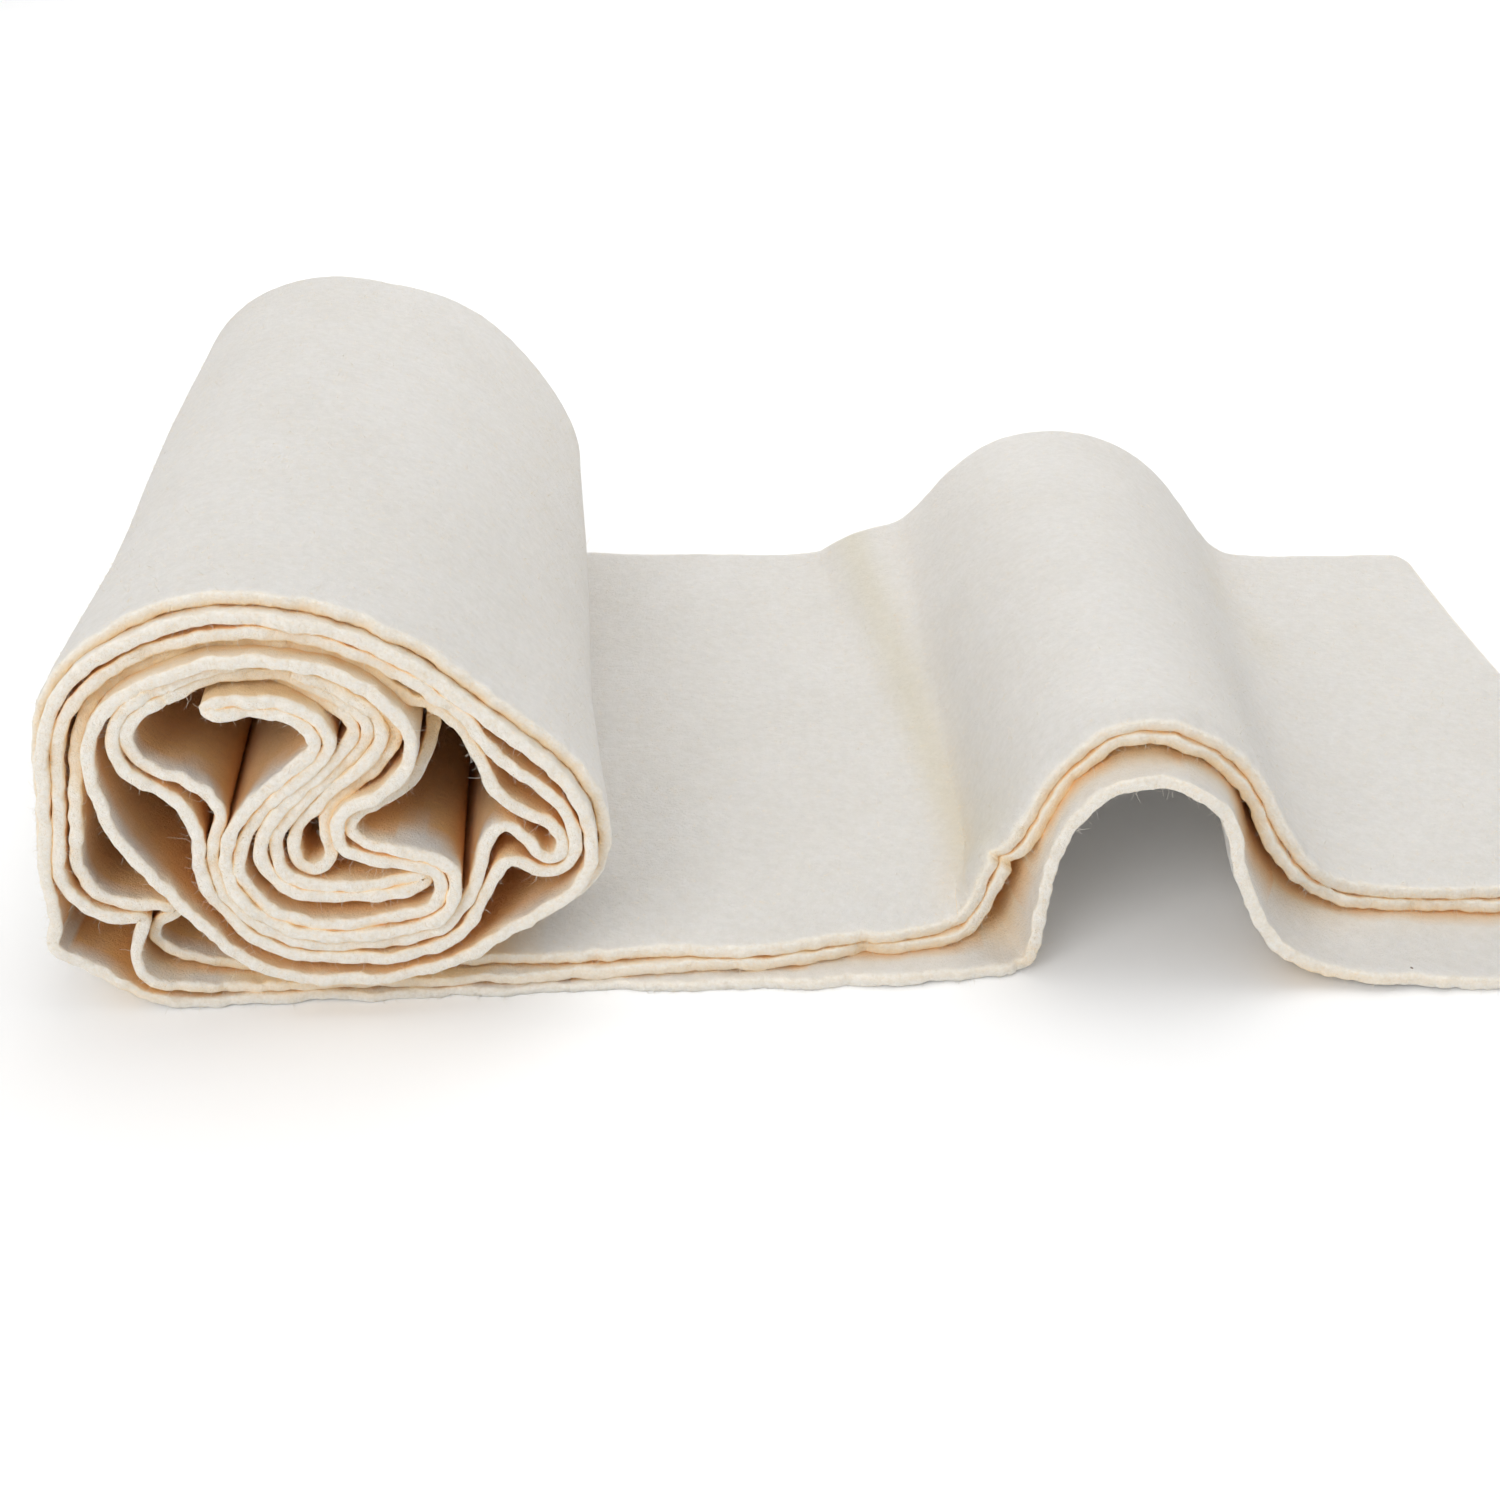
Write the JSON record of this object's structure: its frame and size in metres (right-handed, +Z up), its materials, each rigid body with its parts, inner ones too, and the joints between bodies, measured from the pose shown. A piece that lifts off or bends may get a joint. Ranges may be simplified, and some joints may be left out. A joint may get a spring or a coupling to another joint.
{
  "type": "roll of cotton batting",
  "caption": "Folded cotton batting wound into a crumpled roll, its loose end lying beside it on the surface and rising in one hump.",
  "frame": {"origin": "middle of the underside of the whole object, on the surface it lies on", "axes": "+X runs from the roll along the cloth to the end of the loose end, +Y runs away from the viewer along the roll, +Z up"},
  "size_m": [0.4128, 0.252, 0.1116],
  "materials": {
    "batting": "undyed cream needled cotton felt, matt and softly fibrous"
  },
  "bodies": {
    "root": {"wound_roll": "batting", "loose_end": "batting"}
  },
  "joints": []
}
